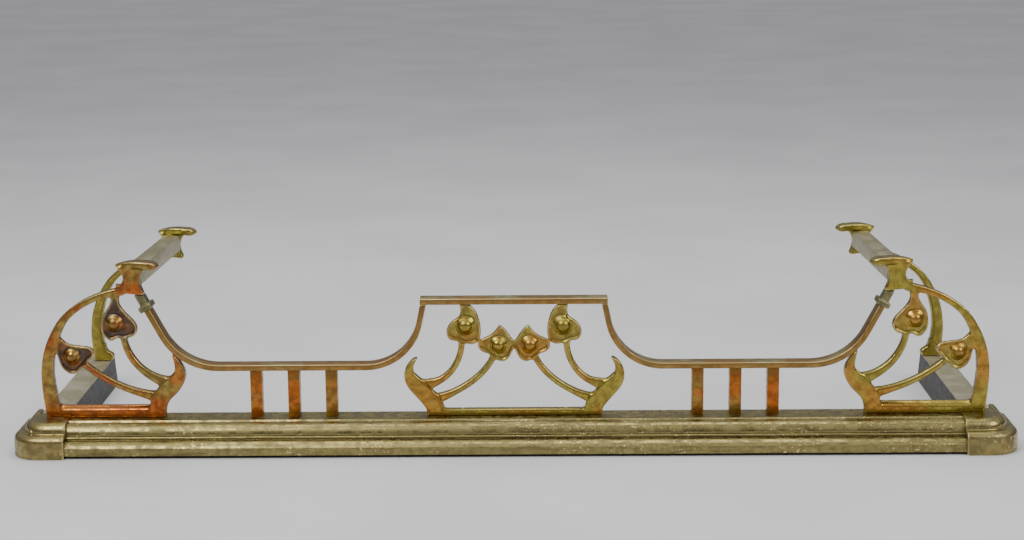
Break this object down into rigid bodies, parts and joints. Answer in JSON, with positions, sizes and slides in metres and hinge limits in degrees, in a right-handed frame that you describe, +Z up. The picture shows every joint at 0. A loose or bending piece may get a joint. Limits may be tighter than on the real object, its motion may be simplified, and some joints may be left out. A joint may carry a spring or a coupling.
{
  "type": "fireplace fender",
  "caption": "Low three-sided brass hearth fender, open at the back: moulded kerb, curved leaf castings, flat rails with balusters and square side rails.",
  "frame": {"origin": "middle of the fender's footprint, on the hearth", "axes": "+X along the fender to the viewer's right, +Y from the room to the wall, +Z up"},
  "size_m": [1.354, 0.41, 0.2595],
  "materials": {
    "casting_brass": "aged cast brass, rubbed bright on the edges and brown in the hollows",
    "cover_brass": "aged cast brass, bright on the round edge",
    "rolled_brass": "dull rolled sheet brass with fine pitting",
    "rail_brass": "dull tarnished brass bar",
    "collar_brass": "green-grey tarnished brass",
    "baluster_brass": "orange-brown aged brass",
    "iron": "dark grey iron, rough",
    "screw_steel": "plain steel, darkened"
  },
  "bodies": {
    "root": {"baluster_screws": "screw_steel", "bracket_screws": "screw_steel", "centre_ornament": "casting_brass", "centre_rail": "rail_brass", "front_backing": "iron", "front_moulding": "rolled_brass", "left_baluster_1": "baluster_brass", "left_baluster_2": "baluster_brass", "left_baluster_3": "baluster_brass", "left_corner_cover": "cover_brass", "left_corner_tie": "iron", "left_front_bracket": "casting_brass", "left_front_rail": "rail_brass", "left_rail_collar": "collar_brass", "left_rear_upright": "casting_brass", "left_side_backing": "iron", "left_side_moulding": "rolled_brass", "left_side_rail": "rail_brass", "ornament_screws": "screw_steel", "right_baluster_1": "baluster_brass", "right_baluster_2": "baluster_brass", "right_baluster_3": "baluster_brass", "right_corner_cover": "cover_brass", "right_corner_tie": "iron", "right_front_bracket": "casting_brass", "right_front_rail": "rail_brass", "right_rail_collar": "collar_brass", "right_rear_upright": "casting_brass", "right_side_backing": "iron", "right_side_moulding": "rolled_brass", "right_side_rail": "rail_brass", "tie_rivets": "iron", "upright_screws": "screw_steel"}
  },
  "joints": []
}
